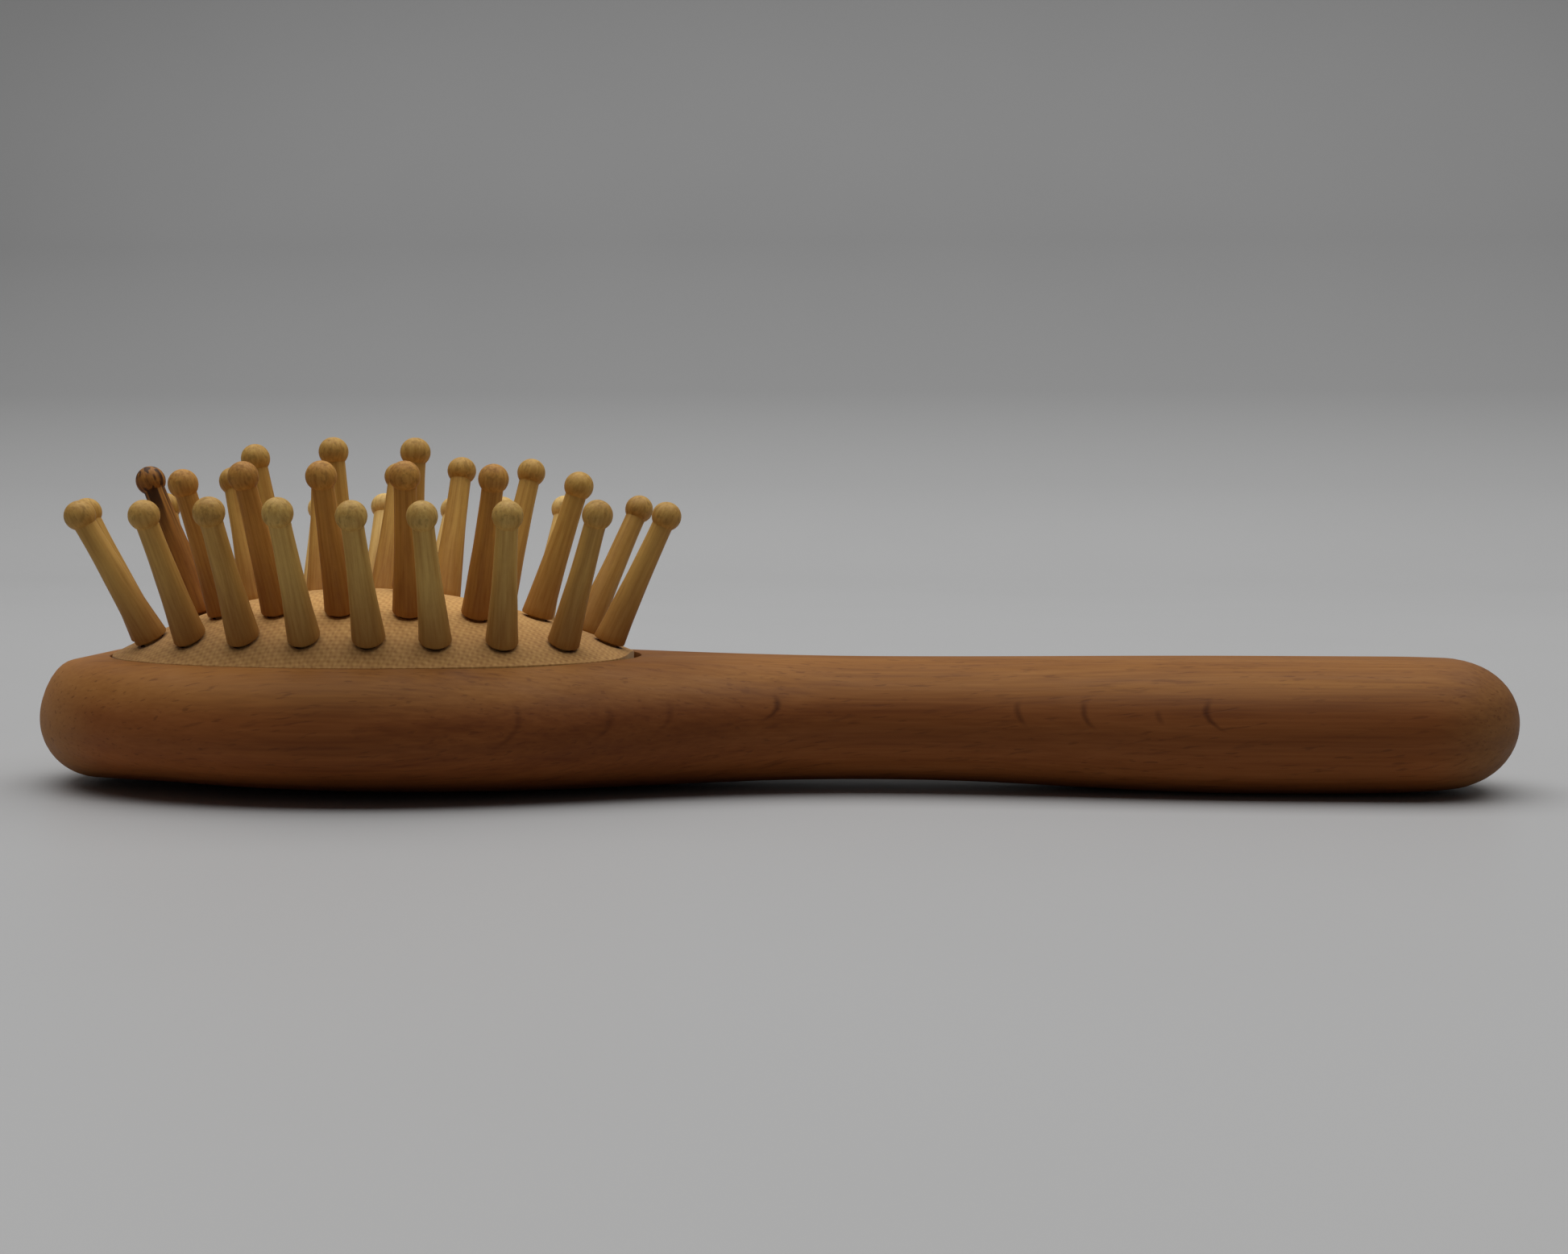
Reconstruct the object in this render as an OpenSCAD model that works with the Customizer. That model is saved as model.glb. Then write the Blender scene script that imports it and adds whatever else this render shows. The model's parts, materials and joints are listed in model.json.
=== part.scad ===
// Small paddle hair brush: a one-piece wooden head and handle, an air-filled rubber cushion
// and turned wooden pins that stand in it. It lies on its back, pins up.
// X runs along the brush, from the tip of the head to the butt of the handle, and Z is up.

/* [Body] */
// Thickness of the head, from the table to the flat face round the cushion
head_t = 15.2; // [14:0.1:20]
// Thickness of the handle
handle_t = 15.2; // [13:0.1:20]
// Wood between the tip of the head and the cushion
rim_tip = 8.4; // [7.5:0.1:12]
// Wood beside the cushion at the widest point of the head
rim_side = 6.2; // [5.5:0.1:10]
// Handle, from the cushion to the butt
handle_l = 102.8; // [92:0.1:130]
// Narrowest width, at the neck
neck_w = 20; // [16:0.5:24]
// Distance of the neck from the cushion
neck_at = 29; // [22:1:38]
// Widest width of the handle
handle_w = 26; // [22:0.5:32]
// Distance of the handle's widest point from the cushion
palm_at = 73; // [60:1:78]
// Length of the rounded butt, seen from above
butt_round = 14; // [9:0.5:18]
// Length of the rounded nose at each end, seen from the side
nose_l = 7.5; // [6:0.5:10]
// Width of the rounding over the head's upper edge
head_shoulder = 6; // [4:0.5:8]
// Width of the rounding over the handle's upper edge
handle_shoulder = 9.5; // [5:0.5:12]
// Width of the rounding under the head's lower edge
head_belly = 20; // [12:0.5:28]
// Width of the rounding under the handle's lower edge
handle_belly = 10; // [5:0.5:12]
// Distance of the head's resting place from the cushion's handle end
rest_at = 19; // [4:0.5:30]
// How far the underside rises at the tip
tip_lift = 0.6; // [0.5:0.1:3]
// How far the underside rises at the neck
neck_lift = 1; // [0.4:0.1:2]
// How far the underside rises at the butt
butt_lift = 1.2; // [0.5:0.1:3]
// Depth of the flats that are sanded on the back where it rests
rest_flat = 0.25; // [0.1:0.05:0.4]

/* [Cushion] */
// Length of the cushion
cushion_l = 64; // [58:0.2:70]
// Width of the cushion
cushion_w = 37; // [35:0.2:44]
// Height of its crest above the wood
cushion_rise = 8; // [6:0.1:9]
// How far the crest lies from the middle, towards the tip
crest_shift = 2; // [0:0.5:8]
// Thickness of the rubber skin
rubber_t = 1.8; // [1.2:0.1:2.2]
// Depth of the seat that the cushion's edge fills
seat_depth = 2.4; // [2:0.1:3]
// Width of the ledge under that edge
ledge_w = 1.8; // [1.4:0.1:2]
// Gap round the cushion in its seat
seat_gap = 0.2; // [0.1:0.05:0.4]
// Wood left under the air chamber
floor_t = 6; // [4:0.2:7]

/* [Pins] */
// Length of a pin, from the cushion to the middle of its ball
pin_l = 16.6; // [14:0.1:20]
// Diameter of the ball tip
ball_d = 3.5; // [3:0.1:4.2]
// Diameter of the shaft under the ball
throat_d = 2.5; // [2:0.1:2.8]
// Diameter of the flared foot that stands on the cushion
foot_d = 3.8; // [3.4:0.1:4.4]
// Diameter of the stem that passes through the rubber
stem_d = 2.2; // [1.8:0.1:2.4]
// Diameter of the button that holds the pin from below
button_d = 4; // [3.6:0.1:4.4]
// Thickness of that button
button_t = 1.4; // [1:0.1:2]
// Clearance round the stem in its hole
stem_gap = 0.3; // [0.25:0.05:0.4]
// Clearance between the rubber and the foot and button
pin_gap = 0.55; // [0.5:0.05:0.7]
// Height of the bevel under the foot and of the cone over the button, which let the pin rock
bevel_h = 0.5; // [0.4:0.05:0.7]
// Width of the bevel under the foot and under the button
bevel_w = 0.5; // [0.4:0.05:0.6]
// Distance of the outer ring of pins from the cushion's edge
ring_inset = 3.9; // [3.2:0.1:4.6]
// Distance between the two rings along the brush
ring_gap_long = 7.8; // [7:0.1:8.6]
// Distance between the two rings across the brush
ring_gap_across = 5.1; // [4.8:0.1:6]
// Extra gap on either side of the pin at a ring's handle end
end_gap = 1.5; // [0:0.1:3]
// Pins in the outer ring
outer_count = 18; // [14:2:18]
// Pins in the inner ring
inner_count = 12; // [8:2:12]
// Distance of the inner ring's middle from the cushion's, towards the tip
inner_shift = 0.8; // [0:0.1:2]
// Pins in the row at the centre
centre_count = 3; // [1:1:3]
// Distance between the pins of that row
centre_pitch = 7.6; // [7:0.1:8.4]
// Distance of that row's middle from the cushion's, towards the tip
centre_shift = 3.7; // [0:0.1:5]
// Depth of the line that the pins lean away from, along the brush
lean_long = 59; // [52:1:90]
// Depth of the line that the pins lean away from, across the brush
lean_across = 24; // [22:1:50]
// Share of the lean along the brush that the pins lose towards the cushion's sides
side_ease = 1.3; // [0:0.05:1.4]

/* [Hidden] */
// Distances along the body, from the tip of the head
cushion_end_s = rim_tip + cushion_l;
body_l = cushion_end_s + handle_l;
widest_s = rim_tip + cushion_l / 2;
head_rest_s = cushion_end_s - rest_at;
neck_s = cushion_end_s + neck_at;
palm_s = cushion_end_s + palm_at;

// Half-sizes of the oval that the cushion fills, its middle and the head's half-width round it
oval_x = cushion_l / 2;
oval_y = cushion_w / 2;
middle_x = widest_s - body_l / 2;
head_half = oval_y + rim_side;

// Height of the seat, half-sizes of the air chamber and how far a cut reaches past a face
ledge_z = head_t - seat_depth;
chamber_x = oval_x - ledge_w;
chamber_y = oval_y - ledge_w;
cut_over = 1;

// Share of the oval at which the dome's outer face meets its edge
edge_share = 1 - seat_gap / oval_y;

// Skew of the dome that puts its crest where crest_shift says, and its peak before scaling
crest_u = -crest_shift / oval_x;
dome_skew = 2 * crest_u / (3 * crest_u * crest_u - 1);
dome_peak = (1 - crest_u * crest_u) * (1 - dome_skew * crest_u);

// Numbers of points and rings in the smooth skins
arc_steps = 8;
nose_rings = 6;
body_rings = 30;
dome_sides = 48;
dome_rings = 7;
arc_step = 2;
shaft_steps = 6;
$fn = 48;

// Largest share of a half-width that a rounding may take, and the power of the pins' flare
round_share = 0.96;
flare_power = 1.7;

// Where the pins stand, as offsets from the cushion's middle
outer_x = oval_x - ring_inset;
outer_y = oval_y - ring_inset;
outer_ring = ring(outer_count, outer_x, outer_y, 0);
inner_ring = ring(inner_count, outer_x - ring_gap_long, outer_y - ring_gap_across, inner_shift);
centre_row = [for (k = [0 : centre_count - 1])
    [(k - (centre_count - 1) / 2) * centre_pitch - centre_shift, 0]];
pins = concat(centre_row, inner_ring, outer_ring);
pin_names = concat(
    [for (k = [1 : centre_count]) str("centre_pin_", k)],
    [for (k = [1 : inner_count]) str("inner_pin_", k)],
    [for (k = [1 : outer_count]) str("outer_pin_", k)]);

// A value that swings smoothly from one to another as s runs from start to end, and holds outside
function swing(s, start, end, from, to) =
    let (share = max(0, min(1, (s - start) / (end - start))))
    from + (to - from) * (1 - cos(180 * share)) / 2;

// A quarter of an ellipse's rise, from 0 at the start to 1 at the reach and beyond
function round_rise(s, reach) = s >= reach ? 1 : sqrt(1 - pow(1 - s / reach, 2));

// Half of the body's width, seen from above
function half_width(s) =
    s < widest_s ? head_half * round_rise(s, widest_s) :
    s < neck_s ? swing(s, widest_s, neck_s, head_half, neck_w / 2) :
    swing(s, neck_s, palm_s, neck_w / 2, handle_w / 2) * round_rise(body_l - s, butt_round);

// Height of the underside before its flats are sanded: it rests under the head and the palm
function underside(s) = -rest_flat + (
    s < head_rest_s ? swing(s, 0, head_rest_s, tip_lift, 0) :
    s < neck_s ? swing(s, head_rest_s, neck_s, 0, neck_lift) :
    s < palm_s ? swing(s, neck_s, palm_s, neck_lift, 0) :
    butt_lift * pow((s - palm_s) / (body_l - palm_s), 2));

// Height of the upper face, and the widths of the roundings over and under the edges
function upper(s) = swing(s, cushion_end_s, neck_s, head_t, handle_t);
function shoulder(s) = swing(s, widest_s, cushion_end_s, head_shoulder, handle_shoulder);
function belly(s) = swing(s, widest_s, neck_s, head_belly, handle_belly);
function middle_z(s) = (upper(s) + underside(s)) / 2;

// A quarter of a section's outline, drawn from one angle to another about a point inside its edge
function quarter(s, rounding, side, turn, steps) =
    let (
        w = half_width(s),
        r = min(rounding, round_share * w),
        h = (upper(s) - middle_z(s)) * round_rise(s, nose_l) * round_rise(body_l - s, nose_l)
    )
    [for (i = steps) let (t = turn + 90 * i / arc_steps)
        [s - body_l / 2, side * (w - r) + r * cos(t), middle_z(s) + h * sin(t)]];

// A closed section of the body: a flat face with rounded shoulders over a rounded belly
function section(s) = concat(
    quarter(s, shoulder(s), 1, 0, [0 : arc_steps]),
    quarter(s, shoulder(s), -1, 90, [0 : arc_steps]),
    quarter(s, belly(s), -1, 180, [1 : arc_steps]),
    quarter(s, belly(s), 1, 270, [0 : arc_steps - 1]));

// Distances at which the body has a section, closer together at the noses
nose_s = [for (i = [1 : nose_rings]) nose_l * (1 - cos(90 * i / nose_rings))];
between_s = [for (i = [1 : body_rings]) nose_l + (body_l - 2 * nose_l) * i / (body_rings + 1)];
stations = concat(nose_s, between_s, [for (i = [nose_rings - 1 : -1 : 0]) body_l - nose_s[i]]);

// Faces of a skin that runs from one end point, through closed rings of n points, to another
function skin_faces(rings, n) =
    let (last = 1 + rings * n, base = last - n)
    concat(
        [for (j = [0 : n - 1]) [0, 1 + j, 1 + (j + 1) % n]],
        [for (i = [0 : rings - 2], j = [0 : n - 1])
            let (a = 1 + i * n + j, b = 1 + i * n + (j + 1) % n)
            each [[a, a + n, b + n], [a, b + n, b]]],
        [for (j = [0 : n - 1]) [last, base + (j + 1) % n, base + j]]);

module skin(first, rings, last) {
    points = concat([first], [for (loop = rings) each loop], [last]);
    polyhedron(points, skin_faces(len(rings), len(rings[0])));
}

// Height of the cushion over the wood, at shares u and v of the oval's half-sizes
function rise(u, v) = cushion_rise / dome_peak * (1 - dome_skew * u) * (1 - u * u - v * v);

// A point of the dome's outer face, the direction square to it there and the inner face's point below it
function dome_point(u, v) = [middle_x + u * oval_x, v * oval_y, head_t + rise(u, v)];
function dome_normal(u, v) =
    let (
        slope = cushion_rise / dome_peak,
        along = slope / oval_x * (dome_skew * (1 - u * u - v * v) + 2 * u * (1 - dome_skew * u)),
        across = slope / oval_y * 2 * v * (1 - dome_skew * u)
    )
    [along, across, 1] / norm([along, across, 1]);
function inner_point(u, v) = dome_point(u, v) - [0, 0, rubber_t / dome_normal(u, v).z];

// Loops of the cushion's skin: on the dome's outer face, on its inner face over the chamber, on the ledge
loop_angles = [for (j = [0 : dome_sides - 1]) -360 * j / dome_sides];
function outer_loop(share) = [for (t = loop_angles) dome_point(share * cos(t), share * sin(t))];
function inner_loop(share) = [for (t = loop_angles)
    inner_point(share * chamber_x / oval_x * cos(t), share * chamber_y / oval_y * sin(t))];
function ledge_loop(half_x, half_y) = [for (t = loop_angles)
    [middle_x + half_x * cos(t), half_y * sin(t), ledge_z]];

// Points along an oval: one at each end of it, and the others evenly spaced along both sides
function oval(a, b, t) = [-a * cos(t), -b * sin(t)];
function arc_table(a, b) = [for (t = 0, l = 0; t <= 180;
    l = l + norm(oval(a, b, t + arc_step) - oval(a, b, t)), t = t + arc_step) [l, t]];
function ring(count, a, b, shift) =
    let (
        table = arc_table(a, b),
        half = count / 2,
        pitch = (table[len(table) - 1][0] - end_gap) / half,
        side = [for (k = [0 : half - 1]) lookup(k * pitch, table)],
        angles = concat(side, [180], [for (k = [half - 1 : -1 : 1]) 360 - side[k]])
    )
    [for (t = angles) oval(a, b, t) - [shift, 0]];

// Where a pin meets the dome, and the direction that it points in
function seat(pin) = dome_point(pin.x / oval_x, pin.y / oval_y);
function lean(pin) =
    let (kept = 1 - side_ease * pow(pin.y / oval_y, 2))
    [kept * pin.x / lean_long, pin.y / lean_across, 1];

module on_pin_axis(pin) {
    way = lean(pin);
    translate(seat(pin))
        rotate([0, acos(1 / norm(way)), atan2(way.y, way.x)])
            children();
}

module oval_prism(half_x, half_y, low, high) {
    translate([middle_x, 0, low])
        linear_extrude(high - low)
            scale([half_x, half_y]) circle(1);
}

module handle_body() {
    tip = [-body_l / 2, 0, middle_z(0)];
    butt = [body_l / 2, 0, middle_z(body_l)];
    color("#9a6238")
        difference() {
            skin(tip, [for (s = stations) section(s)], butt);
            oval_prism(oval_x, oval_y, ledge_z, head_t + cut_over);
            oval_prism(chamber_x, chamber_y, floor_t, head_t);
            translate([-body_l / 2, -head_half, -cut_over]) cube([body_l, 2 * head_half, cut_over]);
        }
}

module cushion() {
    outer = [for (i = [1 : dome_rings]) outer_loop(edge_share * i / dome_rings)];
    edge = [ledge_loop(edge_share * oval_x, edge_share * oval_y), ledge_loop(chamber_x, chamber_y)];
    inner = [for (i = [dome_rings : -1 : 1]) inner_loop(i / dome_rings)];
    color("#c79c68")
        difference() {
            skin(dome_point(0, 0), concat(outer, edge, inner), inner_point(0, 0));
            for (pin = pins)
                on_pin_axis(pin)
                    translate([0, 0, -2 * rubber_t])
                        cylinder(h = 3 * rubber_t, d = stem_d + 2 * stem_gap);
        }
}

// Radius of a pin's shaft at a share of the way from its foot to its ball
function shaft_r(share) = throat_d / 2 + (foot_d - throat_d) / 2 * pow(1 - share, flare_power);

module pin(at) {
    button_top = -rubber_t - pin_gap;
    shaft_low = pin_gap + bevel_h;
    shaft = [for (i = [0 : shaft_steps])
        [shaft_r(i / shaft_steps), shaft_low + (pin_l - shaft_low) * i / shaft_steps]];
    outline = concat(
        [[0, button_top - button_t],
         [button_d / 2 - bevel_w, button_top - button_t],
         [button_d / 2, button_top - bevel_h],
         [stem_d / 2, button_top],
         [stem_d / 2, pin_gap],
         [foot_d / 2 - bevel_w, pin_gap]],
        shaft,
        [[0, pin_l]]);
    color("#d8bf86")
        on_pin_axis(at) {
            rotate_extrude() polygon(outline);
            translate([0, 0, pin_l]) sphere(d = ball_d);
        }
}

handle_body();
cushion();
for (k = [0 : len(pins) - 1])
    pin(pins[k]);
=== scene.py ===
"""The looks of a small wooden paddle brush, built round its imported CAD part.

Everything is in metres in the part's own frame: X along the brush, Z up, the brush on its back.
"""

import json
import math
import random

import bpy
from mathutils import Matrix, Vector, noise
from mathutils.geometry import delaunay_2d_cdt


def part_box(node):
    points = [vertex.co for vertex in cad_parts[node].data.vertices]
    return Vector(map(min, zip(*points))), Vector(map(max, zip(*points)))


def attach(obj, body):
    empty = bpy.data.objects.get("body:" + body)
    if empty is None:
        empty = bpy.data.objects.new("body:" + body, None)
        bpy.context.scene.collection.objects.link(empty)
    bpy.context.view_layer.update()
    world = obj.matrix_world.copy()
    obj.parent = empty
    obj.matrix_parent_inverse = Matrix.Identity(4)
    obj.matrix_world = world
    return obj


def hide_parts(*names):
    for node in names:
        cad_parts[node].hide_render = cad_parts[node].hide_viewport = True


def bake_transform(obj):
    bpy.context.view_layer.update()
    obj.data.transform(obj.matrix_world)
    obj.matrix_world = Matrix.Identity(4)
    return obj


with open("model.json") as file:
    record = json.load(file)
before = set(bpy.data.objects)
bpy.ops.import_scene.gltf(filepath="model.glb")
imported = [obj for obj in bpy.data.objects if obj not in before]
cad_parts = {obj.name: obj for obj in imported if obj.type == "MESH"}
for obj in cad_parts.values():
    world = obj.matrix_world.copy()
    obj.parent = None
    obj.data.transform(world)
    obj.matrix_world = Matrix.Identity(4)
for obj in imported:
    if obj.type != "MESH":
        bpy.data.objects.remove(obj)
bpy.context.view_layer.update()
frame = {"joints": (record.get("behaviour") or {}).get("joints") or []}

MM = 0.001

# Sizes that the frame gives: the body, the oval that the cushion fills and the dome over it
body_low, body_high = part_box("handle_body")
cushion_low, cushion_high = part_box("cushion")
body_l = body_high.x - body_low.x
head_half = body_high.y
head_t = body_high.z
ledge_z = cushion_low.z
cushion_rise = cushion_high.z - head_t
seat_gap = 0.2 * MM
oval_y = cushion_high.y + seat_gap
edge_share = 1 - seat_gap / oval_y
oval_x = (cushion_high.x - cushion_low.x) / 2 / edge_share
middle_x = (cushion_high.x + cushion_low.x) / 2

# Where the head rests and where the handle is narrowest and widest, from the cushion's handle end
rest_at = 19 * MM
neck_at = 29 * MM
palm_at = 73 * MM

# Distances along the body, from the tip of the head
widest_s = middle_x - body_low.x
cushion_end_s = widest_s + oval_x
head_rest_s = cushion_end_s - rest_at
neck_s = cushion_end_s + neck_at
palm_s = cushion_end_s + palm_at

# The body's form: widths, roundings and how far its underside rises from the table
handle_t = 15.2 * MM
neck_half = 10 * MM
palm_half = 13 * MM
butt_round = 14 * MM
nose_l = 7.5 * MM
head_shoulder = 6 * MM
handle_shoulder = 9.5 * MM
head_belly = 20 * MM
handle_belly = 10 * MM
tip_lift = 0.6 * MM
neck_lift = 1 * MM
butt_lift = 1.2 * MM
rest_flat = 0.25 * MM

# The largest share of the body's half width that a rounding takes
most_round = 0.96

# The recess under the cushion, and how far its cutter stands above the wood
ledge_w = 1.8 * MM
floor_z = 6 * MM
rim_round = 0.08 * MM
rim_angles = (30, 60, 85)
cutter_over = 1 * MM

# The dome: how far its crest lies towards the tip, the skew that puts it there, and its peak before scaling
crest_shift = 2 * MM
crest_u = -crest_shift / oval_x
dome_skew = 2 * crest_u / (3 * crest_u ** 2 - 1)
dome_peak = (1 - crest_u ** 2) * (1 - dome_skew * crest_u)

# The pins above the cushion, the rubber that holds them, and their stems and buttons inside
pin_l = 16.6 * MM
ball_r = 1.75 * MM
throat_r = 1.25 * MM
foot_r = 1.9 * MM
rubber_t = 1.8 * MM
stem_r = 1.1 * MM
button_r = 2 * MM
button_t = 1.4 * MM
button_top = -2.35 * MM
button_bevel = 0.5 * MM
button_middle = 0.3 * button_r

# How the pins lean, and in how many rounds a pin's seat is found from its lean
lean_long = 59 * MM
lean_across = 24 * MM
side_ease = 1.3
seat_rounds = 4

# A pin's foot: its lower edge, its flare, and the height at which its cut to the cushion's slope ends
foot_low = 0.1 * MM
foot_bevel = 0.25 * MM
foot_bow = 0.3 * foot_bevel
foot_flare = 1.7
foot_reach = 4 * MM

# How close to the body's ends its first and last sections stand
end_trim = 0.01 * MM

# How finely the meshes are divided
nose_steps = 14
body_steps = 110
corner_steps = 17
oval_sides = 160
skin_sides = 168
skin_rings = 44
hole_sides = 24
pin_sides = 28
shaft_steps = 16
ball_steps = 14
sweep_steps = 24


def swing(s, start, end, low, high):
    """A value that swings smoothly from low to high as s runs from start to end."""
    share = min(1.0, max(0.0, (s - start) / (end - start)))
    return low + (high - low) * (1 - math.cos(math.pi * share)) / 2


def round_rise(s, reach):
    """A quarter of an ellipse's rise, from 0 at the start to 1 at the reach and beyond."""
    return 1.0 if s >= reach else math.sqrt(max(0.0, 1 - (1 - s / reach) ** 2))


def half_width(s):
    """Half of the body's width at a distance from the tip."""
    if s < widest_s:
        return head_half * round_rise(s, widest_s)
    if s < neck_s:
        return swing(s, widest_s, neck_s, head_half, neck_half)
    return swing(s, neck_s, palm_s, neck_half, palm_half) * round_rise(body_l - s, butt_round)


def underside(s):
    """Height of the body's underside, before its flats are sanded."""
    if s < head_rest_s:
        lift = swing(s, 0, head_rest_s, tip_lift, 0)
    elif s < neck_s:
        lift = swing(s, head_rest_s, neck_s, 0, neck_lift)
    elif s < palm_s:
        lift = swing(s, neck_s, palm_s, neck_lift, 0)
    else:
        lift = butt_lift * ((s - palm_s) / (body_l - palm_s)) ** 2
    return lift - rest_flat


def section(s):
    """A closed section of the body: a flat face with rounded shoulders over a rounded belly."""
    upper = swing(s, cushion_end_s, neck_s, head_t, handle_t)
    middle = (upper + underside(s)) / 2
    height = (upper - middle) * round_rise(s, nose_l) * round_rise(body_l - s, nose_l)
    width = half_width(s)
    shoulder = swing(s, widest_s, cushion_end_s, head_shoulder, handle_shoulder)
    belly = swing(s, widest_s, neck_s, head_belly, handle_belly)
    points = []
    for side, turn, rounding in ((1, 0, shoulder), (-1, 90, shoulder), (-1, 180, belly), (1, 270, belly)):
        radius = min(rounding, most_round * width)
        for i in range(corner_steps):
            angle = math.radians(turn + 90 * i / (corner_steps - 1))
            y = side * (width - radius) + radius * math.cos(angle)
            z = middle + height * math.sin(angle)
            points.append((body_low.x + s, y, max(z, 0.0)))
    return points


def stations():
    """Where the body's sections stand along it, closer together at its rounded ends."""
    nose = [nose_l * (1 - math.cos(math.pi / 2 * i / nose_steps)) for i in range(1, nose_steps + 1)]
    reach = body_l - 2 * nose_l
    between = [nose_l + reach * i / body_steps for i in range(1, body_steps)]
    return [end_trim] + nose + between + [body_l - s for s in reversed(nose)] + [body_l - end_trim]


def ring_faces(count, sides):
    """Quads between rings of points that follow each other."""
    return [(i * sides + j, i * sides + (j + 1) % sides,
             (i + 1) * sides + (j + 1) % sides, (i + 1) * sides + j)
            for i in range(count - 1) for j in range(sides)]


def capped_skin(name, rings):
    """A closed mesh through rings of points, with a face over each end."""
    sides = len(rings[0])
    points = [p for ring in rings for p in ring]
    faces = ring_faces(len(rings), sides)
    faces.append(tuple(reversed(range(sides))))
    faces.append(tuple(range(len(points) - sides, len(points))))
    mesh = bpy.data.meshes.new(name)
    mesh.from_pydata(points, [], faces)
    return mesh


def shown(name, mesh, crease=40):
    """An object in the scene for a mesh, smooth apart from edges sharper than the crease angle."""
    mesh.shade_smooth()
    mesh.set_sharp_from_angle(angle=math.radians(crease))
    piece = bpy.data.objects.new(name, mesh)
    bpy.context.scene.collection.objects.link(piece)
    return piece


def oval_ring(half_x, half_y, z):
    """A ring of points on an oval about the cushion's middle."""
    angles = [2 * math.pi * j / oval_sides for j in range(oval_sides)]
    return [(middle_x + half_x * math.cos(t), half_y * math.sin(t), z) for t in angles]


def recess_cutter():
    """The stepped room under the cushion: air chamber, seat and a rounded rim."""
    steps = [(-ledge_w, floor_z), (-ledge_w, ledge_z), (0, ledge_z), (0, head_t - rim_round)]
    for angle in rim_angles:
        turn = math.radians(angle)
        steps.append((rim_round * (1 - math.cos(turn)), head_t - rim_round * (1 - math.sin(turn))))
    steps.append((rim_round, head_t + cutter_over))
    rings = [oval_ring(oval_x + out, oval_y + out, z) for out, z in steps]
    return shown("recess_cutter", capped_skin("recess_cutter", rings))


def wooden_body():
    """Head and handle from one piece of wood, with the recess cut into the head."""
    body = shown("wooden_body", capped_skin("wooden_body", [section(s) for s in stations()]))
    cutter = recess_cutter()
    cut = body.modifiers.new("recess", "BOOLEAN")
    cut.object = cutter
    cut.solver = "EXACT"
    evaluated = body.evaluated_get(bpy.context.evaluated_depsgraph_get())
    mesh = bpy.data.meshes.new_from_object(evaluated)
    mesh.name = "wooden_body"
    bpy.data.objects.remove(cutter)
    bpy.data.objects.remove(body)
    return shown("wooden_body", mesh, crease=30)


def pin_axis(joint):
    """Where a pin meets the dome, and the way that it points, from its rocking joint."""
    pivot = Vector(joint["pos_m"])
    seat = pivot
    for _ in range(seat_rounds):
        kept = 1 - side_ease * (seat.y / oval_y) ** 2
        way = Vector((kept * (seat.x - middle_x) / lean_long, seat.y / lean_across, 1)).normalized()
        seat = pivot + rubber_t / 2 * way
    return seat, way


pin_axes = {j["child"]: pin_axis(j) for j in frame["joints"] if j["type"] == "hinge"}

# The cushion's cloth: dimples and holes round the pins, and the edge that turns down and in
dimple_depth = 0.25 * MM
dimple_r = 2.2 * MM
hole_r = 1.3 * MM
lip = 0.08 * MM
hem = 8 * lip
skin_gap = 0.03 * MM

# The gaps left at the cloth's two ends, and how steeply they grow towards its edge
tip_end_gap = 0.5 * MM
handle_end_gap = 1.1 * MM
end_gap_half = 4.6 * MM
end_gap_power = 6

# Shares of a hole's radius: the net's points stay clear of it, and faces inside it are left out
net_clear = 1.12
face_clear = 0.98


def dome_rise(x, y):
    """Height of the cushion's face over the wood, before it is dimpled."""
    u = (x - middle_x) / oval_x
    v = y / oval_y
    return cushion_rise / dome_peak * (1 - dome_skew * u) * (1 - u * u - v * v)


def dome_normal(x, y):
    """The way that the cushion's face looks, before it is dimpled."""
    step = 0.1 * MM
    slope_x = (dome_rise(x + step, y) - dome_rise(x - step, y)) / (2 * step)
    slope_y = (dome_rise(x, y + step) - dome_rise(x, y - step)) / (2 * step)
    return Vector((-slope_x, -slope_y, 1)).normalized()


def dome_z(x, y):
    """Height of the cushion's face."""
    dimples = sum(math.exp(-((x - seat.x) ** 2 + (y - seat.y) ** 2) / dimple_r ** 2)
                  for seat, _ in pin_axes.values())
    return head_t + dome_rise(x, y) - dimple_depth * dimples


def dome_place(share, angle):
    """A point of the cushion seen from above, with its ends drawn in from the seat."""
    x = share * oval_x * math.cos(angle)
    y = share * oval_y * math.sin(angle)
    gap = handle_end_gap if x > 0 else -tip_end_gap
    draw = gap * share ** end_gap_power * math.exp(-(y / end_gap_half) ** 2) * abs(math.cos(angle))
    return Vector((middle_x + x - draw, y))


def hole_ring(seat):
    """Points round a pin's hole in the cloth, seen from above."""
    angles = [2 * math.pi * k / hole_sides for k in range(hole_sides)]
    return [seat + hole_r * Vector((math.cos(t), math.sin(t))) for t in angles]


def skin_net(angles, seats):
    """Points of the cloth seen from above, the rim's first, and the edges of its rim and holes."""
    rim_share = 1 - (skin_gap + lip) / oval_y
    flat = [dome_place(rim_share, t) for t in angles]
    edges = [(j, (j + 1) % skin_sides) for j in range(skin_sides)]
    for seat in seats:
        first = len(flat)
        flat += hole_ring(seat)
        edges += [(first + k, first + (k + 1) % hole_sides) for k in range(hole_sides)]
    for ring in range(1, skin_rings):
        stride = 1 if ring > skin_rings / 3 else 3
        for t in angles[::stride]:
            point = dome_place(rim_share * ring / skin_rings, t)
            if all((point - seat).length > net_clear * hole_r for seat in seats):
                flat.append(point)
    return flat, edges


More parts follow.
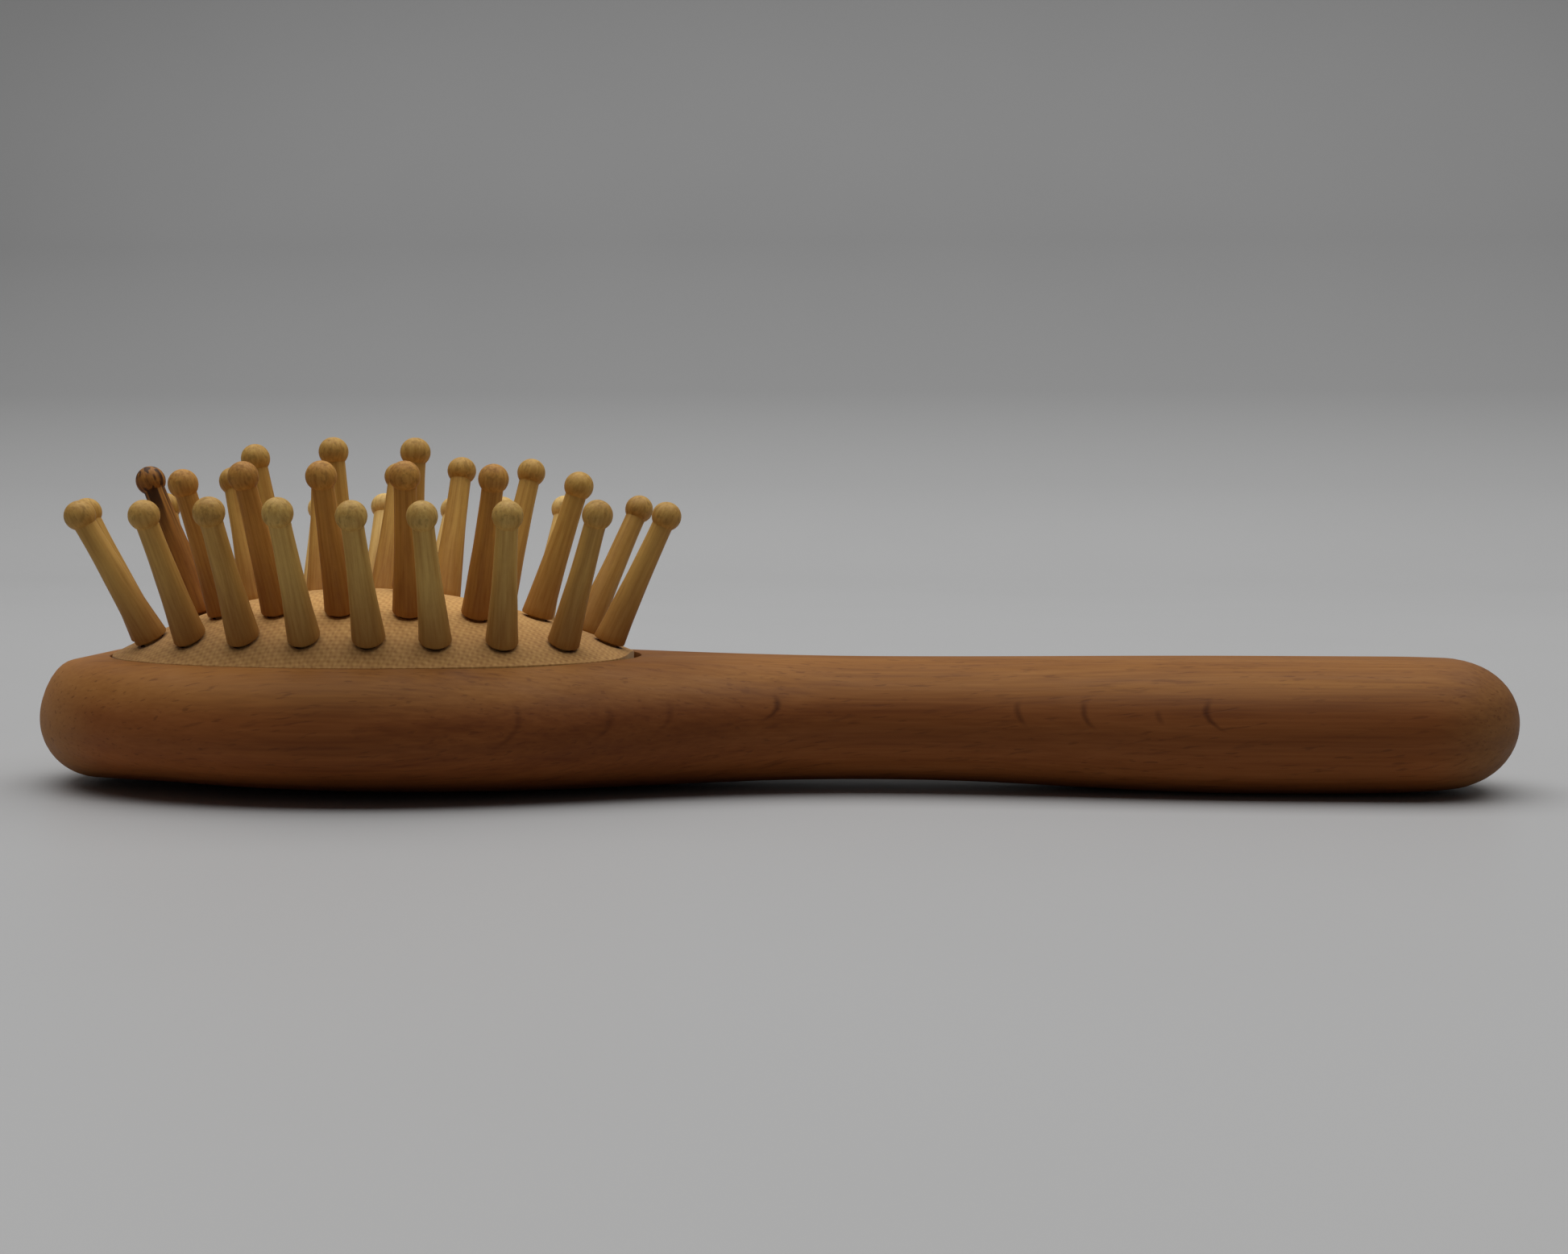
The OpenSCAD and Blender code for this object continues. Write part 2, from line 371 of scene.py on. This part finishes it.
def turn_down(points, faces, rim, angles):
    """Adds the cloth's edge: rounded over at the rim, down to the ledge, and in under the cushion."""
    rounded = ((0.5 * lip, 0.15 * lip), (0.87 * lip, 0.5 * lip), (lip, lip))
    on_ledge = ((lip, None), (-hem, None))
    last = rim
    for out, down in rounded + on_ledge:
        ring = []
        for corner, t in zip(rim, angles):
            start = points[corner]
            x = start.x + out * math.cos(t)
            y = start.y + out * math.sin(t)
            ring.append(len(points))
            points.append(Vector((x, y, ledge_z if down is None else start.z - down)))
        faces += [(last[j], ring[j], ring[(j + 1) % skin_sides], last[(j + 1) % skin_sides])
                  for j in range(skin_sides)]
        last = ring


def cushion_skin():
    """The cushion's cloth-faced skin: a dome with a hole for each pin, and an edge that turns down."""
    angles = [2 * math.pi * j / skin_sides for j in range(skin_sides)]
    seats = [seat.xy for seat, _ in pin_axes.values()]
    flat, edges = skin_net(angles, seats)
    inside_only = 1
    merge_gap = 1e-8
    corners, _, triangles, sources, _, _ = delaunay_2d_cdt(flat, edges, [], inside_only, merge_gap)
    place_of = {old: new for new, olds in enumerate(sources) for old in olds}
    points = [Vector((p.x, p.y, dome_z(p.x, p.y))) for p in corners]
    faces = []
    for triangle in triangles:
        heart = sum((corners[i] for i in triangle), Vector((0, 0))) / 3
        if all((heart - seat).length > face_clear * hole_r for seat in seats):
            faces.append(tuple(triangle))
    turn_down(points, faces, [place_of[j] for j in range(skin_sides)], angles)
    mesh = bpy.data.meshes.new("cushion_skin")
    mesh.from_pydata(points, [], faces)
    return shown("cushion_skin", mesh, crease=60)


def pin_outline(length):
    """Half of a pin's outline as radius and height: button, stem, flared foot, shaft and ball."""
    shaft_low = foot_low + foot_bevel
    points = [(button_middle, button_top - button_t), (button_r - button_bevel, button_top - button_t),
              (button_r, button_top - button_bevel), (stem_r, button_top), (stem_r, foot_low),
              (foot_r - foot_bevel, foot_low), (foot_r - foot_bow, foot_low + foot_bow)]
    ball_start = math.acos(-math.sqrt(1 - (throat_r / ball_r) ** 2))
    shaft_high = length + ball_r * math.cos(ball_start)
    for i in range(shaft_steps + 1):
        share = i / shaft_steps
        points.append((throat_r + (foot_r - throat_r) * (1 - share) ** foot_flare,
                       shaft_low + (shaft_high - shaft_low) * share))
    for i in range(1, ball_steps):
        angle = ball_start * (1 - i / ball_steps)
        points.append((ball_r * math.sin(angle), length + ball_r * math.cos(angle)))
    return points


# Pins that stand a little askew along the brush, in degrees, or a little taller or lower, in mm
askew = {"outer_pin_2": -5, "outer_pin_6": 2, "outer_pin_11": 5, "outer_pin_14": 4, "outer_pin_18": 3,
         "inner_pin_1": -2, "inner_pin_2": 2, "inner_pin_10": 3, "inner_pin_11": 2}
taller = {"outer_pin_3": -0.5, "outer_pin_11": 0.5, "inner_pin_1": 0.5, "inner_pin_2": -0.5,
          "inner_pin_8": 0.8, "inner_pin_9": 0.8}

# How uneven all pins are: shares of length and thickness, and tilt in degrees
length_spread = (0.985, 1.015)
thick_spread = (0.98, 1.03)
tilt_spread = (-0.5, 0.5)

# The wobble of their sides: its share of the radius, and how fast it changes round, along and between pins
wobble_share = 0.025
wobble_round = 1.2
wobble_along = 250
wobble_apart = 40


def pin_rings(outline, stretch, offset, slope):
    """Rings of points of a pin that stands upright, with uneven sides and its foot cut to a slope."""
    rings = []
    for radius, height in outline:
        slant = swing(height, foot_low, foot_reach, 1, 0) if height >= foot_low else 0
        ring = []
        for j in range(pin_sides):
            angle = 2 * math.pi * j / pin_sides
            side = Vector((math.cos(angle), math.sin(angle), 0))
            spot = wobble_round * side + Vector((0, 0, height * wobble_along)) + wobble_apart * offset
            reach = radius * (1 + wobble_share * noise.noise(spot)) * (stretch if height > 0 else 1)
            ring.append(reach * side + Vector((0, 0, height + slant * reach * slope.dot(side.xy))))
        rings.append(ring)
    return rings


def turned_pin(name, seat, way, chance):
    """One turned pin on the cushion, with its own length, thickness, tilt and place in the grain."""
    outline = pin_outline(pin_l * chance.uniform(*length_spread) + taller.get(name, 0) * MM)
    stretch = chance.uniform(*thick_spread)
    offset = Vector((chance.uniform(-1, 1), chance.uniform(-1, 1), 0))
    tilt = Vector((chance.uniform(*tilt_spread) + askew.get(name, 0), chance.uniform(*tilt_spread), 0))
    up = (way + math.radians(1) * tilt).normalized()
    turn = Vector((0, 0, 1)).rotation_difference(up).to_matrix().to_4x4()
    face = turn.transposed() @ dome_normal(seat.x, seat.y)
    slope = -face.xy / face.z
    mesh = capped_skin(name + "_turned", pin_rings(outline, stretch, offset, slope))
    grain = mesh.attributes.new("grain", "FLOAT_VECTOR", "POINT")
    grain.data.foreach_set("vector", [c for v in mesh.vertices for c in v.co + offset])
    mesh.transform(Matrix.Translation(seat) @ turn)
    return shown(name + "_turned", mesh, crease=38)


def srgb(red, green, blue):
    """A colour written as it looks on a screen, from 0 to 255, for a shader."""
    parts = [c / 255 for c in (red, green, blue)]
    return [c / 12.92 if c <= 0.04045 else ((c + 0.055) / 1.055) ** 2.4 for c in parts] + [1.0]


class Shader:
    """A material, and short ways to add nodes to it."""

    def __init__(self, name):
        self.material = bpy.data.materials.new(name)
        self.material.use_nodes = True
        self.nodes = self.material.node_tree.nodes
        self.links = self.material.node_tree.links
        self.surface = self.nodes["Principled BSDF"]

    def put(self, socket, value):
        """Links a node's output to a socket, or sets a plain value on it."""
        if isinstance(value, bpy.types.NodeSocket):
            self.links.new(value, socket)
        else:
            socket.default_value = value

    def add(self, kind, inputs=None, **settings):
        """A new node with its settings and inputs."""
        node = self.nodes.new("ShaderNode" + kind)
        for name, value in settings.items():
            setattr(node, name, value)
        for name, value in (inputs or {}).items():
            self.put(node.inputs[name], value)
        return node

    def place(self):
        """The point's place in the part's frame."""
        return self.add("TexCoord").outputs["Object"]

    def axes(self, place):
        """The parts of a place along X, Y and Z, by name."""
        return self.add("SeparateXYZ", {"Vector": place}).outputs

    def math(self, operation, *values):
        """The result of one operation on values."""
        node = self.add("Math", operation=operation)
        for socket, value in zip(node.inputs, values):
            self.put(socket, value)
        return node.outputs[0]

    def weighted(self, *parts):
        """The sum of values, each times its weight."""
        total = 0.0
        for value, weight in parts:
            total = self.math("MULTIPLY_ADD", value, weight, total)
        return total

    def span(self, value, low, high, to_low=0.0, to_high=1.0):
        """A value that goes smoothly from one end to another as the given one runs from low to high."""
        inputs = {"Value": value, "From Min": low, "From Max": high, "To Min": to_low, "To Max": to_high}
        return self.add("MapRange", inputs, interpolation_type="SMOOTHSTEP").outputs["Result"]

    def noise(self, place, scale, detail=2.0, turn=(0, 0, 0), roughness=0.5):
        """Noise that is turned first and then drawn out by its scale along each axis."""
        at = self.add("Mapping", {"Vector": place, "Rotation": turn}, vector_type="POINT")
        wide = self.add("Mapping", {"Vector": at.outputs[0], "Scale": scale}, vector_type="POINT")
        inputs = {"Vector": wide.outputs[0], "Scale": 1.0, "Detail": detail, "Roughness": roughness}
        return self.add("TexNoise", inputs).outputs["Fac"]

    def ramp(self, factor, *stops):
        """A colour between stops, each a position and its colour."""
        node = self.add("ValToRGB", {"Fac": factor})
        elements = node.color_ramp.elements
        while len(elements) < len(stops):
            elements.new(0.5)
        for element, (position, colour) in zip(elements, stops):
            element.position = position
            element.color = colour
        return node.outputs["Color"]

    def mix(self, factor, first, second, blend_type="MIX"):
        """A mix of two colours, through the colour sockets of a node that has others of the same names."""
        node = self.add("Mix", data_type="RGBA", blend_type=blend_type)
        for index, value in ((0, factor), (6, first), (7, second)):
            self.put(node.inputs[index], value)
        return node.outputs[2]

    def bump(self, height, strength, distance):
        """Lets a height roughen the surface."""
        inputs = {"Height": height, "Strength": strength, "Distance": distance}
        self.put(self.surface.inputs["Normal"], self.add("Bump", inputs).outputs["Normal"])

    def finish(self, colour, roughness, specular):
        """The material, with its colour and gloss set."""
        values = {"Base Color": colour, "Roughness": roughness, "Specular IOR Level": specular}
        for name, value in values.items():
            self.put(self.surface.inputs[name], value)
        return self.material


# Dark arcs where growth rings run out at the body's sides: place of the bow along the brush and its height
# in mm, how it bends, how far it reaches up and down in mm, how dark it is, and the side that it is on
ring_marks = ((2.0, 10.7, -0.50, 1.8, 0.65, -1), (29.1, 10.2, 0.30, 1.8, 0.50, -1),
              (36.5, 10.2, 0.30, 2.0, 0.55, -1), (44.8, 9.9, 0.30, 1.0, 0.40, -1),
              (50.0, 10.4, 0.40, 2.2, 0.65, -1), (-26.0, 9.8, -0.28, 3.2, 0.35, -1),
              (-16.4, 9.7, -0.30, 2.6, 0.30, -1), (-9.9, 10.2, -0.30, 2.2, 0.30, -1),
              (12.0, 9.6, -0.35, 2.0, 0.50, 1), (41.0, 9.0, 0.40, 2.0, 0.50, 1),
              (-22.0, 8.6, -0.25, 2.8, 0.40, 1))

# An arc's line: half of its width, and how far it wanders to either side
mark_half = 0.6 * MM
mark_wander = 0.4 * MM

# Shares of an arc's reach: how far its middle lies below its bow, and where it begins to fade
mark_drop = 0.25
mark_full = 0.25

# Where the wood's tone changes: over the head, before the neck, down the sides, where painted shade darkens
# them and painted light lifts their lower part again, and towards both ends
head_tone_x = (-62 * MM, -44 * MM)
deep_tone_x = -13 * MM
deep_tone_reach = (4 * MM, 16 * MM)
side_shade_z = (0.61 * head_t, 0.9 * head_t)
belly_light_z = (0.25 * head_t, 0.6 * head_t)
ends_grain_and_light_x = (body_l / 2 - 14 * MM, body_l / 2 - 2 * MM)

# How strong these tones are: the side and belly tints are painted shade and painted light, the end tones
# greyer end grain with painted light from the sides
head_tone_share = 0.2
deep_tone_share = 0.2
ends_grain_and_light_share = 0.35
side_shade_tint = (0.73, 0.55, 0.56, 1)
belly_light_tint = (1.04, 0.77, 0.79, 1)


def ring_mark_mask(wood, place, axes):
    """How dark the arcs of the growth rings are at a point of the body."""
    wander = wood.math("MULTIPLY_ADD", wood.noise(place, (400, 400, 400)), 2 * mark_wander, -mark_wander)
    total = 0.0
    for x_mm, z_mm, bend, reach_mm, depth, side in ring_marks:
        reach = reach_mm * MM
        up = wood.math("SUBTRACT", axes["Z"], z_mm * MM)
        off = wood.math("MULTIPLY_ADD", wood.math("MULTIPLY", up, up), -bend / MM,
                        wood.math("SUBTRACT", axes["X"], x_mm * MM))
        line = wood.span(wood.math("ABSOLUTE", wood.math("ADD", off, wander)), 0.0, mark_half, depth, 0)
        heart = wood.math("ADD", up, mark_drop * reach)
        fade = wood.span(wood.math("ABSOLUTE", heart), mark_full * reach, reach, 1, 0)
        near = wood.math("GREATER_THAN", wood.math("MULTIPLY", axes["Y"], side), 0)
        total = wood.math("MULTIPLY_ADD", wood.math("MULTIPLY", line, fade), near, total)
    return total


def growth_rings(wood, place):
    """Growth rings about a pith below the brush, a little slanted to it."""
    pith = wood.add("Mapping", {"Vector": place, "Location": (0, -1, 6), "Rotation": (0, 0.3, 0.15),
                                "Scale": (12, 100, 100)})
    inputs = {"Vector": pith.outputs[0], "Scale": 1.1, "Distortion": 2.2, "Detail": 2.0, "Detail Scale": 0.8}
    return wood.add("TexWave", inputs, wave_type="RINGS", rings_direction="X").outputs["Fac"]


def broad_tones(wood, axes, colour):
    """The wood's broad tones: paler on the head, deeper before the neck, painted shade making the sides
    darker and redder, painted light lifting their lower part, and ends of greyer end grain with painted
    light.
    """
    head = wood.span(axes["X"], *head_tone_x, head_tone_share, 0)
    colour = wood.mix(head, colour, srgb(200, 134, 66))
    off_deep = wood.math("ABSOLUTE", wood.math("SUBTRACT", axes["X"], deep_tone_x))
    deep = wood.span(off_deep, *deep_tone_reach, deep_tone_share, 0)
    colour = wood.mix(deep, colour, srgb(84, 44, 21))
    inside = wood.span(wood.math("ABSOLUTE", axes["X"]), *ends_grain_and_light_x, 1, 0)
    # Painted shade: the sides are made darker and redder below the shoulder, and painted light makes their
    # lower part a little lighter again
    side = wood.math("MULTIPLY", inside, wood.span(axes["Z"], *side_shade_z, 1, 0))
    tint = wood.mix(wood.span(axes["Z"], *belly_light_z, 1, 0), side_shade_tint, belly_light_tint)
    colour = wood.mix(side, colour, tint, blend_type="MULTIPLY")
    # The ends: greyer end grain, partly painted light from the sides
    ends_grain_and_light = wood.mix(wood.math("GREATER_THAN", axes["X"], 0), srgb(186, 136, 90), srgb(112, 80, 58))
    return wood.mix(wood.math("MULTIPLY_ADD", inside, -ends_grain_and_light_share, ends_grain_and_light_share), colour, ends_grain_and_light)


def beech():
    """Oiled beech: long streaks, growth rings, flecks, broad tones with painted shade and light on the sides,
    and a few dark arcs.
    """
    wood = Shader("beech")
    place = wood.place()
    axes = wood.axes(place)
    tone = wood.noise(place, (16, 90, 130), detail=3)
    fibre = wood.noise(place, (75, 1900, 2700), detail=3)
    streak = wood.noise(place, (30, 420, 620), detail=2)
    fleck = wood.span(wood.noise(place, (330, 2600, 2600), detail=1, turn=(0, 0.12, 0)), 0.63, 0.74)
    dash = wood.span(wood.noise(place, (150, 1300, 1300), detail=2, turn=(0, 0.2, 0.1)), 0.6, 0.74)
    mixed = wood.weighted((fibre, 0.35), (tone, 0.45), (streak, 0.16), (growth_rings(wood, place), 0.06))
    colour = wood.ramp(mixed, (0.32, srgb(115, 70, 32)), (0.51, srgb(139, 91, 43)), (0.7, srgb(157, 108, 56)))
    colour = broad_tones(wood, axes, colour)
    colour = wood.mix(wood.math("MULTIPLY", fleck, 0.4), colour, srgb(84, 44, 21))
    colour = wood.mix(wood.math("MULTIPLY", dash, 0.3), colour, srgb(82, 42, 20))
    colour = wood.mix(ring_mark_mask(wood, place, axes), colour, srgb(62, 26, 8))
    wood.bump(wood.math("ADD", fibre, wood.math("MULTIPLY", fleck, -0.6)), 0.12, 0.12 * MM)
    return wood.finish(colour, wood.span(streak, 0.3, 0.7, 0.55, 0.66), 0.12)


# The cloth: distance between its threads, how loosely they run, and the heights over which painted light
# makes it paler towards the crest
thread_pitch = 0.56 * MM
thread_loose = 4.5
crest_light_z = (head_t + 0.25 * cushion_rise, head_t + 0.85 * cushion_rise)


def cloth():
    """Fine cloth on the rubber, woven on the slant, matt, uneven, and paler towards the crest, as painted
    light.
    """
    skin = Shader("rubber_skin")
    place = skin.place()
    axes = skin.axes(place)
    loose = skin.math("MULTIPLY", skin.noise(place, (700, 700, 700)), thread_loose)
    threads = []
    for way in ("ADD", "SUBTRACT"):
        across = skin.math(way, axes["X"], axes["Y"])
        threads.append(skin.math("SINE", skin.math("MULTIPLY_ADD", across, math.pi / thread_pitch, loose)))
    warp, weft = threads
    weave = skin.math("MULTIPLY_ADD", skin.math("MULTIPLY", warp, weft), 0.3,
                      skin.math("MULTIPLY_ADD", warp, 0.15, 0.5))
    slub = skin.noise(place, (1300, 1300, 1300), detail=3)
    tone = skin.noise(place, (60, 60, 60))
    mixed = skin.weighted((slub, 0.35), (weave, 0.45), (tone, 0.25))
    # The rim's colours are the shaded ones and the crest's the lit ones: painted shade and painted light,
    # blended by height
    edge = skin.ramp(mixed, (0.28, srgb(148, 105, 58)), (0.55, srgb(173, 130, 75)), (0.8, srgb(190, 149, 90)))
    crest = skin.ramp(mixed, (0.28, srgb(180, 131, 74)), (0.55, srgb(206, 159, 94)),
                      (0.8, srgb(222, 178, 110)))
    colour = skin.mix(skin.span(axes["Z"], *crest_light_z), edge, crest)
    skin.bump(skin.math("MULTIPLY_ADD", slub, 0.5, weave), 0.35, 0.1 * MM)
    skin.surface.inputs["Sheen Weight"].default_value = 0.12
    return skin.finish(colour, 0.88, 0.2)


# Heights on a pin: where a stain grows, and where the painted warm shade over the lower shaft ends
stain_z = (8 * MM, 15.5 * MM)
painted_shade_end = 0.7 * pin_l


def pin_wood(name, pale, dark, stain=0.0):
    """Turned wood of the pins: fine streaks along each pin, mottled end grain with painted shade over the
    ball's top, a dark heart if stained, and painted warm shade over the lower shaft.
    """
    wood = Shader(name)
    grain = wood.add("Attribute", attribute_name="grain", attribute_type="GEOMETRY").outputs["Vector"]
    height = wood.axes(grain)["Z"]
    streak = wood.noise(grain, (2800, 2800, 50), detail=3, roughness=0.6)
    tone = wood.noise(grain, (260, 260, 70), detail=2)
    mottle = wood.noise(grain, (2000, 2000, 1300), detail=2)
    mixed = wood.weighted((mottle, 0.1), (streak, 0.55), (tone, 0.35))
    colour = wood.ramp(mixed, (0.34, srgb(*dark)), (0.62, srgb(*pale)))
    if stain:
        band = wood.span(wood.noise(grain, (1600, 1600, 60), detail=1), 0.42, 0.56)
        band = wood.math("MULTIPLY", band, wood.span(height, *stain_z, 0.1, stain))
        colour = wood.mix(band, colour, srgb(56, 30, 8))
    # The ball's top is darkened: mottled end grain over a slight even painted shade
    ball_grain_and_shade = srgb(*(0.72 * c for c in dark))
    ball = wood.span(height, pin_l - ball_r, pin_l)
    speck = wood.math("MULTIPLY_ADD", wood.span(mottle, 0.5, 0.68), 0.4, 0.08)
    colour = wood.mix(wood.math("MULTIPLY", ball, speck), colour, ball_grain_and_shade)
    # Painted shade, warm and reddish, over the lower shaft, fading out towards its upper part
    colour = wood.mix(wood.span(height, 0, painted_shade_end, 0.5, 0), colour, srgb(130, 78, 38))
    wood.bump(streak, 0.1, 0.1 * MM)
    return wood.finish(colour, wood.span(mottle, 0.3, 0.7, 0.5, 0.66), 0.2)


def pin_finishes():
    """The material of each pin, by its node's name."""
    honey = pin_wood("pin_honey", (206, 163, 84), (171, 124, 56))
    pale = pin_wood("pin_pale", (206, 169, 94), (172, 130, 64))
    tan = pin_wood("pin_tan", (200, 158, 84), (165, 121, 57))
    warm = pin_wood("pin_warm", (202, 150, 72), (162, 108, 46))
    # A paler copy of the pins' wood: painted backlight for the far pins
    light = pin_wood("pin_painted_backlight", (240, 204, 128), (204, 162, 90))
    dark = pin_wood("pin_dark", (182, 126, 54), (128, 76, 28), stain=0.95)
    chosen = {name: honey for name in pin_axes}
    chosen.update({f"outer_pin_{k}": tan for k in (2, 3, 4, 9, 10, 11)})
    chosen.update({f"outer_pin_{k}": pale for k in (5, 6, 7, 8)})
    # The far outer pins take the paler copy, as painted backlight
    chosen.update({f"outer_pin_{k}": light for k in range(12, 18)})
    chosen.update({f"inner_pin_{k}": warm for k in range(2, 7)})
    chosen["inner_pin_1"] = dark
    return chosen


def add_brush():
    """The brush itself: each piece stands for its CAD node; the body and each pin move with their node's
    body, and the cushion's skin stays where it is built.
    """
    body = wooden_body()
    body.data.materials.clear()
    body.data.materials.append(beech())
    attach(body, "handle")
    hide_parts("handle_body")

    skin = cushion_skin()
    skin.data.materials.append(cloth())
    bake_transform(skin)
    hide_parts("cushion")

    finishes = pin_finishes()
    chance = random.Random(7)
    for name, (seat, way) in pin_axes.items():
        pin = turned_pin(name, seat, way, chance)
        pin.data.materials.append(finishes[name])
        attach(pin, name)
        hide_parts(name)


# The studio's paper: floor and backdrop in one sweep, a hair below the brush, and the height over which
# painted shade darkens it up the backdrop
floor_half = 2.0
floor_end = 0.45
floor_drop = 0.02 * MM
sweep_r = 0.35
paper_shade_z = 0.25

# The light: a wide lamp overhead and a weak even light all round
lamp_w = 1.6
lamp_l = 1.2
lamp_power = 15.0
lamp_place = (0, 0.12, 0.95)
even_light = 0.06

# The camera, where the photograph was taken from: its place, and its turn in degrees
camera_place = (16 * MM, -237.3 * MM, 36.2 * MM)
camera_pitch = 85.79
camera_yaw = 3.38
camera_lens = 45.99


def studio_paper():
    """Matt grey paper, paler on the floor and darkened up the backdrop by painted shade."""
    paper = Shader("studio_paper")
    place = paper.place()
    height = paper.axes(place)["Z"]
    # Painted shade: the paper grows darker up the backdrop, as light falls off with height
    colour = paper.ramp(paper.span(height, 0.0, paper_shade_z),
                        (0, srgb(173, 173, 173)), (0.05, srgb(163, 163, 163)), (0.22, srgb(140, 140, 140)),
                        (0.65, srgb(125, 125, 125)), (1, srgb(131, 131, 131)))
    cloud = paper.span(paper.noise(place, (14, 14, 14)), 0.2, 0.8, 0.0, 0.06)
    colour = paper.mix(cloud, colour, srgb(150, 149, 149))
    return paper.finish(colour, 0.45, 0.3)


def add_sweep():
    """A floor that turns up into a backdrop."""
    line = [(-floor_half, 0.0)]
    for i in range(sweep_steps + 1):
        angle = math.pi / 2 * i / sweep_steps
        line.append((floor_end + sweep_r * math.sin(angle), sweep_r * (1 - math.cos(angle))))
    line.append((floor_end + sweep_r, floor_half))
    points = [(x, y, z - floor_drop) for x in (-floor_half, floor_half) for y, z in line]
    count = len(line)
    mesh = bpy.data.meshes.new("sweep")
    mesh.from_pydata(points, [], [(i, count + i, count + i + 1, i + 1) for i in range(count - 1)])
    sweep = shown("sweep", mesh)
    sweep.data.materials.append(studio_paper())


def add_light():
    """One wide soft lamp overhead, a little behind the brush, and a weak even light all round."""
    lamp = bpy.data.lights.new("overhead", "AREA")
    lamp.shape = "RECTANGLE"
    lamp.size = lamp_w
    lamp.size_y = lamp_l
    lamp.energy = lamp_power
    holder = bpy.data.objects.new("overhead", lamp)
    holder.location = lamp_place
    bpy.context.scene.collection.objects.link(holder)
    world = bpy.data.worlds.new("world")
    world.use_nodes = True
    background = world.node_tree.nodes["Background"]
    background.inputs["Color"].default_value = (1, 1, 1, 1)
    background.inputs["Strength"].default_value = even_light
    bpy.context.scene.world = world


def add_camera():
    """The camera that the scene is rendered from."""
    data = bpy.data.cameras.new("camera")
    data.sensor_fit = "HORIZONTAL"
    data.sensor_width = 36
    data.lens = camera_lens
    data.clip_start = 0.01
    camera = bpy.data.objects.new("camera", data)
    camera.location = camera_place
    camera.rotation_euler = (math.radians(camera_pitch), 0, math.radians(camera_yaw))
    bpy.context.scene.collection.objects.link(camera)
    bpy.context.scene.camera = camera


add_brush()
add_sweep()
add_light()
add_camera()
bpy.context.scene.view_settings.view_transform = "Standard"
